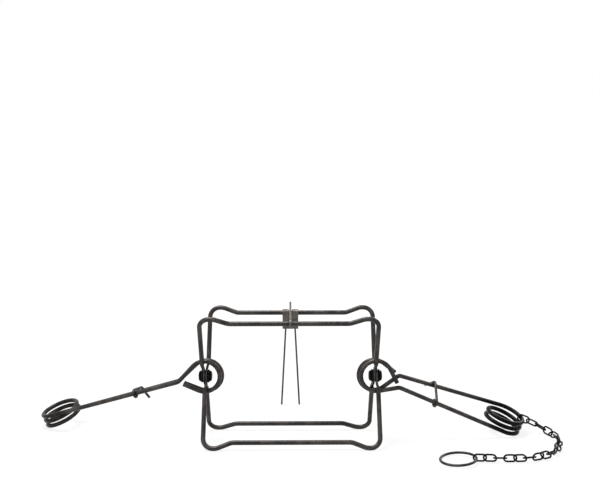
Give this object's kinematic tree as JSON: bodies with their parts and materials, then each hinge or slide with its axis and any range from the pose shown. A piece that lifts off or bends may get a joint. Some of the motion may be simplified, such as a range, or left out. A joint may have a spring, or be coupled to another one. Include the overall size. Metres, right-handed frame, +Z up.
{
  "type": "body grip trap",
  "caption": "Set body grip animal trap: two pivoting square wire jaws, side torsion springs with safety hooks, trigger with prongs, dog, anchor chain and ring.",
  "frame": {"origin": "middle of the part's bounding box at floor level", "axes": "+X along the pivot axis to the side of the anchor chain, +Y to the back, +Z up; the trap stands set on its two lower jaw bars"},
  "size_m": [0.7714, 0.2194, 0.194],
  "materials": {
    "jaw_steel": "dark blued steel wire with brown mottling",
    "spring_steel": "dark brown oiled spring steel",
    "hardware_steel": "dark steel",
    "pale_steel": "bare grey-brown steel",
    "chain_steel": "dark brown steel"
  },
  "bodies": {
    "front_jaw": {"front_top_jaw": "jaw_steel", "left_pivot_rivet": "hardware_steel", "left_outer_washer": "hardware_steel", "left_inner_washer": "hardware_steel", "right_pivot_rivet": "hardware_steel", "right_outer_washer": "hardware_steel", "right_inner_washer": "hardware_steel"},
    "rear_jaw": {"rear_top_jaw": "jaw_steel"},
    "left_spring_body": {"left_spring": "spring_steel"},
    "right_spring_body": {"right_spring": "spring_steel"},
    "left_hook": {"left_safety_hook": "hardware_steel"},
    "right_hook": {"right_safety_hook": "hardware_steel"},
    "dog_body": {"dog": "pale_steel"},
    "trigger": {"trigger_plate": "pale_steel", "left_prong": "pale_steel", "right_prong": "pale_steel"},
    "chain_link_01_body": {"chain_link_01": "chain_steel"},
    "chain_link_02_body": {"chain_link_02": "chain_steel"},
    "chain_link_03_body": {"chain_link_03": "chain_steel"},
    "chain_link_04_body": {"chain_link_04": "chain_steel"},
    "chain_link_05_body": {"chain_link_05": "chain_steel"},
    "chain_link_06_body": {"chain_link_06": "chain_steel"},
    "chain_link_07_body": {"chain_link_07": "chain_steel"},
    "chain_link_08_body": {"chain_link_08": "chain_steel"},
    "chain_link_09_body": {"chain_link_09": "chain_steel"},
    "chain_link_10_body": {"chain_link_10": "chain_steel"},
    "chain_link_11_body": {"chain_link_11": "chain_steel"},
    "chain_link_12_body": {"chain_link_12": "chain_steel"},
    "chain_link_13_body": {"chain_link_13": "chain_steel"},
    "chain_link_14_body": {"chain_link_14": "chain_steel"},
    "chain_link_15_body": {"chain_link_15": "chain_steel"},
    "chain_link_16_body": {"chain_link_16": "chain_steel"},
    "chain_link_17_body": {"chain_link_17": "chain_steel"},
    "chain_link_18_body": {"chain_link_18": "chain_steel"},
    "chain_link_19_body": {"chain_link_19": "chain_steel"},
    "ring": {"anchor_ring": "chain_steel"}
  },
  "joints": [
    {"name": "jaw_pivot", "type": "hinge", "parent": "front_jaw", "child": "rear_jaw", "pos_m": [-0.00466, 0.00846, 0.09517], "axis": [-1, 0, 0], "range_deg": [0, 105]},
    {"name": "left_spring_follow", "type": "hinge", "parent": "front_jaw", "child": "left_spring_body", "pos_m": [-0.00466, 0.00846, 0.09517], "axis": [-1, 0, 0], "range_deg": [0, 52.5]},
    {"name": "right_spring_follow", "type": "hinge", "parent": "front_jaw", "child": "right_spring_body", "pos_m": [-0.00466, 0.00846, 0.09517], "axis": [-1, 0, 0], "range_deg": [0, 52.5]},
    {"name": "left_hook_pivot", "type": "hinge", "parent": "left_spring_body", "child": "left_hook", "pos_m": [-0.2319, 0.0209, 0.06615], "axis": [0.9248, -0.2259, 0.3063], "range_deg": [0, 95]},
    {"name": "right_hook_pivot", "type": "hinge", "parent": "right_spring_body", "child": "right_hook", "pos_m": [0.20559, 0.00764, 0.05492], "axis": [0.923, 0.2402, -0.3006], "range_deg": [0, 95]},
    {"name": "dog_pivot", "type": "hinge", "parent": "front_jaw", "child": "dog_body", "pos_m": [-0.00466, -0.03467, 0.17981], "axis": [1, 0, 0], "range_deg": [0, 100]},
    {"name": "trigger_pivot", "type": "hinge", "parent": "rear_jaw", "child": "trigger", "pos_m": [-0.00466, 0.05158, 0.17981], "axis": [1, 0, 0], "range_deg": [-40, 40]},
    {"name": "chain_link_01_joint", "type": "hinge", "parent": "right_spring_body", "child": "chain_link_01_body", "pos_m": [0.34125, 0.03986, 0.02116], "axis": [0.3661, -0.1212, 0.9226], "range_deg": [-6, 6]},
    {"name": "chain_link_02_joint", "type": "hinge", "parent": "chain_link_01_body", "child": "chain_link_02_body", "pos_m": [0.35056, 0.03856, 0.01792], "axis": [0, 0, 1], "range_deg": [-6, 15]},
    {"name": "chain_link_03_joint", "type": "hinge", "parent": "chain_link_02_body", "child": "chain_link_03_body", "pos_m": [0.36208, 0.03306, 0.01352], "axis": [0, 0, -1], "range_deg": [-15, 2]},
    {"name": "chain_link_04_joint", "type": "hinge", "parent": "chain_link_03_body", "child": "chain_link_04_body", "pos_m": [0.37142, 0.02436, 0.00913], "axis": [0, 0, 1], "range_deg": [-6, 15]},
    {"name": "chain_link_05_joint", "type": "hinge", "parent": "chain_link_04_body", "child": "chain_link_05_body", "pos_m": [0.37789, 0.01267, 0.00717], "axis": [0, 0, -1], "range_deg": [-15, 15]},
    {"name": "chain_link_06_joint", "type": "hinge", "parent": "chain_link_05_body", "child": "chain_link_06_body", "pos_m": [0.38047, -0.00056, 0.00652], "axis": [0, 0, 1], "range_deg": [-9, 15]},
    {"name": "chain_link_07_joint", "type": "hinge", "parent": "chain_link_06_body", "child": "chain_link_07_body", "pos_m": [0.37953, -0.01403, 0.0063], "axis": [0, 0, -1], "range_deg": [-15, 15]},
    {"name": "chain_link_08_joint", "type": "hinge", "parent": "chain_link_07_body", "child": "chain_link_08_body", "pos_m": [0.37649, -0.02718, 0.00623], "axis": [0, 0, 1], "range_deg": [-15, 15]},
    {"name": "chain_link_09_joint", "type": "hinge", "parent": "chain_link_08_body", "child": "chain_link_09_body", "pos_m": [0.37209, -0.03995, 0.00621], "axis": [0, 0, -1], "range_deg": [-15, 15]},
    {"name": "chain_link_10_joint", "type": "hinge", "parent": "chain_link_09_body", "child": "chain_link_10_body", "pos_m": [0.36618, -0.05208, 0.0062], "axis": [0, 0, 1], "range_deg": [-15, 15]},
    {"name": "chain_link_11_joint", "type": "hinge", "parent": "chain_link_10_body", "child": "chain_link_11_body", "pos_m": [0.35843, -0.06314, 0.00619], "axis": [0, 0, -1], "range_deg": [-15, 15]},
    {"name": "chain_link_12_joint", "type": "hinge", "parent": "chain_link_11_body", "child": "chain_link_12_body", "pos_m": [0.34872, -0.07252, 0.00619], "axis": [0, 0, 1], "range_deg": [-15, 15]},
    {"name": "chain_link_13_joint", "type": "hinge", "parent": "chain_link_12_body", "child": "chain_link_13_body", "pos_m": [0.33727, -0.07967, 0.00619], "axis": [0, 0, -1], "range_deg": [-15, 15]},
    {"name": "chain_link_14_joint", "type": "hinge", "parent": "chain_link_13_body", "child": "chain_link_14_body", "pos_m": [0.32467, -0.08451, 0.00619], "axis": [0, 0, 1], "range_deg": [-15, 15]},
    {"name": "chain_link_15_joint", "type": "hinge", "parent": "chain_link_14_body", "child": "chain_link_15_body", "pos_m": [0.31146, -0.08732, 0.00619], "axis": [0, 0, -1], "range_deg": [-15, 15]},
    {"name": "chain_link_16_joint", "type": "hinge", "parent": "chain_link_15_body", "child": "chain_link_16_body", "pos_m": [0.298, -0.08826, 0.00619], "axis": [0, 0, 1], "range_deg": [-15, 15]},
    {"name": "chain_link_17_joint", "type": "hinge", "parent": "chain_link_16_body", "child": "chain_link_17_body", "pos_m": [0.2845, -0.08802, 0.00619], "axis": [0, 0, -1], "range_deg": [-15, 15]},
    {"name": "chain_link_18_joint", "type": "hinge", "parent": "chain_link_17_body", "child": "chain_link_18_body", "pos_m": [0.27103, -0.08708, 0.00619], "axis": [0, 0, 1], "range_deg": [-15, 15]},
    {"name": "chain_link_19_joint", "type": "hinge", "parent": "chain_link_18_body", "child": "chain_link_19_body", "pos_m": [0.25756, -0.08614, 0.00619], "axis": [0, 0, -1], "range_deg": [-15, 15]},
    {"name": "ring_joint", "type": "hinge", "parent": "chain_link_19_body", "child": "ring", "pos_m": [0.2441, -0.0852, 0.00619], "axis": [0, 0, 1], "range_deg": [-20, 20]}
  ],
  "couplings": [
    {"joint": "left_spring_follow", "follows": "jaw_pivot", "ratio": 0.5},
    {"joint": "right_spring_follow", "follows": "jaw_pivot", "ratio": 0.5}
  ]
}
